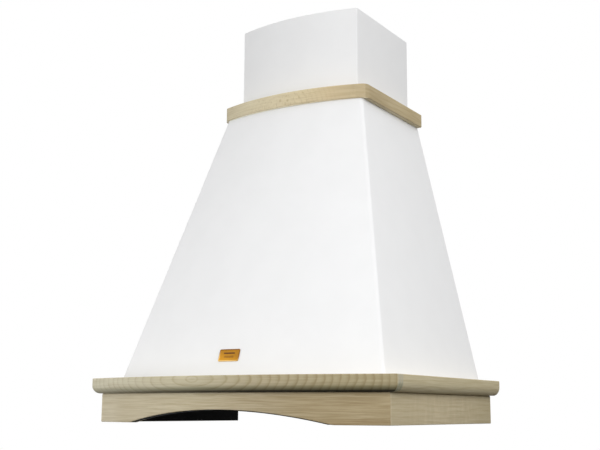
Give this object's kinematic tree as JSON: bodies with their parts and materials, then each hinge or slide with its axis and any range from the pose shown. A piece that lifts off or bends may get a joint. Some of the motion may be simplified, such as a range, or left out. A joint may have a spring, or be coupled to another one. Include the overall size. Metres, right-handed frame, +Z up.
{
  "type": "range hood",
  "caption": "Wall chimney range hood with a tapered white canopy, wooden cornice, skirt and collar, grease filters, blower and telescopic chimney cover.",
  "frame": {"origin": "middle of the four wall fixing holes, on the back plane that lies against the wall", "axes": "+Z up, +Y into the wall, -Y to the front, +X to the right seen from the front"},
  "size_m": [0.6, 0.4599, 0.75],
  "materials": {
    "wood": "bare, sanded",
    "white_steel": "white powder coat, satin",
    "black_steel": "black paint, satin",
    "zinc": "zinc plated",
    "gold": "gold coloured, satin",
    "aluminium": "expanded mesh",
    "grey_plastic": "moulded",
    "black_plastic": "moulded",
    "pale_plastic": "moulded",
    "rubber": "matt",
    "glass": "frosted",
    "bulb": "clear"
  },
  "bodies": {
    "hood": {"cornice_front": "wood", "cornice_left": "wood", "cornice_right": "wood", "skirt_front": "wood", "skirt_left": "wood", "skirt_right": "wood", "collar_front": "wood", "collar_left": "wood", "collar_right": "wood", "canopy_shell": "white_steel", "canopy_top_plate": "white_steel", "rear_panel": "white_steel", "chimney_lower": "white_steel", "chimney_bracket": "zinc", "badge_plate": "gold", "liner_front": "black_steel", "liner_left": "black_steel", "liner_right": "black_steel", "underpan": "black_steel", "blower_wrap": "zinc", "blower_cheek_left": "zinc", "blower_cheek_right": "zinc", "inlet_rings": "grey_plastic", "motor": "zinc", "motor_bracket": "zinc", "motor_dampers": "rubber", "motor_screws": "zinc", "outlet_collar": "grey_plastic", "outlet_screws": "zinc", "flap_rod": "zinc", "capacitor": "pale_plastic", "capacitor_clip": "zinc", "terminal_box": "pale_plastic", "cable_gland": "grey_plastic", "lamp_cans": "zinc", "lamp_bulbs": "bulb", "lamp_lenses": "glass", "lamp_rings": "zinc", "switch_housing": "black_plastic", "switch_bezel": "black_plastic", "pan_screws": "zinc", "foot_screws": "zinc"},
    "upper_cover": {"chimney_upper": "white_steel"},
    "impeller_set": {"impeller": "black_plastic", "motor_shaft": "zinc", "impeller_nut": "zinc"},
    "front_flap": {"flap_front": "black_plastic"},
    "rear_flap": {"flap_rear": "black_plastic"},
    "left_filter": {"filter_frame_left": "aluminium", "filter_mesh_left": "aluminium"},
    "right_filter": {"filter_frame_right": "aluminium", "filter_mesh_right": "aluminium"},
    "left_latch": {"filter_latch_left": "black_plastic"},
    "right_latch": {"filter_latch_right": "black_plastic"},
    "push_1": {"button_1": "pale_plastic"},
    "push_2": {"button_2": "pale_plastic"},
    "push_3": {"button_3": "pale_plastic"},
    "push_4": {"button_4": "pale_plastic"},
    "push_5": {"button_5": "pale_plastic"}
  },
  "joints": [
    {"name": "chimney_slide", "type": "slide", "parent": "hood", "child": "upper_cover", "axis": [0, 0, 1], "range_m": [0, 0.15]},
    {"name": "impeller_spin", "type": "hinge", "parent": "hood", "child": "impeller_set", "pos_m": [0, -0.18, 0.089], "axis": [1, 0, 0], "continuous": true},
    {"name": "front_flap_hinge", "type": "hinge", "parent": "hood", "child": "front_flap", "pos_m": [0, -0.105, 0.23446], "axis": [-1, 0, 0], "range_deg": [0, 75]},
    {"name": "rear_flap_hinge", "type": "hinge", "parent": "hood", "child": "rear_flap", "pos_m": [0, -0.105, 0.23446], "axis": [1, 0, 0], "range_deg": [0, 75]},
    {"name": "left_filter_hinge", "type": "hinge", "parent": "hood", "child": "left_filter", "pos_m": [-0.114, -0.0605, -0.288], "axis": [1, 0, 0], "range_deg": [0, 60]},
    {"name": "right_filter_hinge", "type": "hinge", "parent": "hood", "child": "right_filter", "pos_m": [0.114, -0.0605, -0.288], "axis": [1, 0, 0], "range_deg": [0, 60]},
    {"name": "left_latch_slide", "type": "slide", "parent": "left_filter", "child": "left_latch", "axis": [0, 1, 0], "range_m": [0, 0.006], "stiffness_N_per_m": 150, "springref_m": -0.004},
    {"name": "right_latch_slide", "type": "slide", "parent": "right_filter", "child": "right_latch", "axis": [0, 1, 0], "range_m": [0, 0.006], "stiffness_N_per_m": 150, "springref_m": -0.004},
    {"name": "push_1_slide", "type": "slide", "parent": "hood", "child": "push_1", "axis": [0, 0, 1], "range_m": [0, 0.003], "stiffness_N_per_m": 150, "springref_m": -0.004},
    {"name": "push_2_slide", "type": "slide", "parent": "hood", "child": "push_2", "axis": [0, 0, 1], "range_m": [0, 0.003], "stiffness_N_per_m": 150, "springref_m": -0.004},
    {"name": "push_3_slide", "type": "slide", "parent": "hood", "child": "push_3", "axis": [0, 0, 1], "range_m": [0, 0.003], "stiffness_N_per_m": 150, "springref_m": -0.004},
    {"name": "push_4_slide", "type": "slide", "parent": "hood", "child": "push_4", "axis": [0, 0, 1], "range_m": [0, 0.003], "stiffness_N_per_m": 150, "springref_m": -0.004},
    {"name": "push_5_slide", "type": "slide", "parent": "hood", "child": "push_5", "axis": [0, 0, 1], "range_m": [0, 0.003], "stiffness_N_per_m": 150, "springref_m": -0.004}
  ]
}
